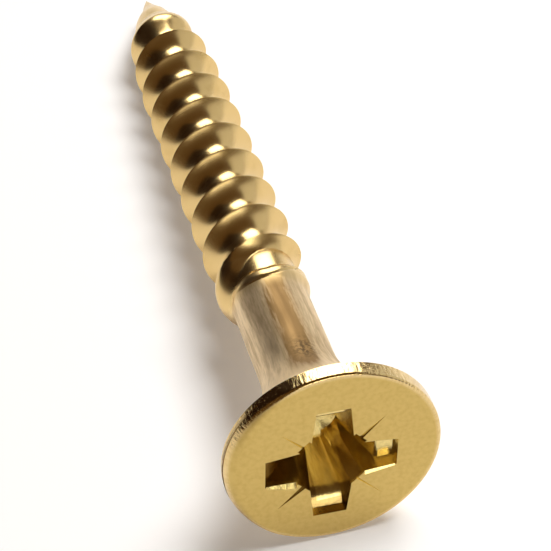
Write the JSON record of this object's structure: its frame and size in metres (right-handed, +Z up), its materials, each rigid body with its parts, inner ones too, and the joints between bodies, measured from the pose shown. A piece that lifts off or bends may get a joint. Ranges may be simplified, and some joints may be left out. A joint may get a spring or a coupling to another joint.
{
  "type": "chipboard screw",
  "caption": "Countersunk screw with a type Z cross recess, a plain shank, a coarse part thread and a sharp point.",
  "frame": {"origin": "centre of the footprint's box, on the floor that the screw lies on", "axes": "+X along the floor from the head to the point, +Z up; the screw's own axis dips 4.92 degrees towards the point"},
  "size_m": [0.0296, 0.0072, 0.0073],
  "materials": {
    "brass": "yellow brass finish, satin on the head and shank, bright in the rolled thread"
  },
  "bodies": {
    "root": {"screw": "brass"}
  },
  "joints": []
}
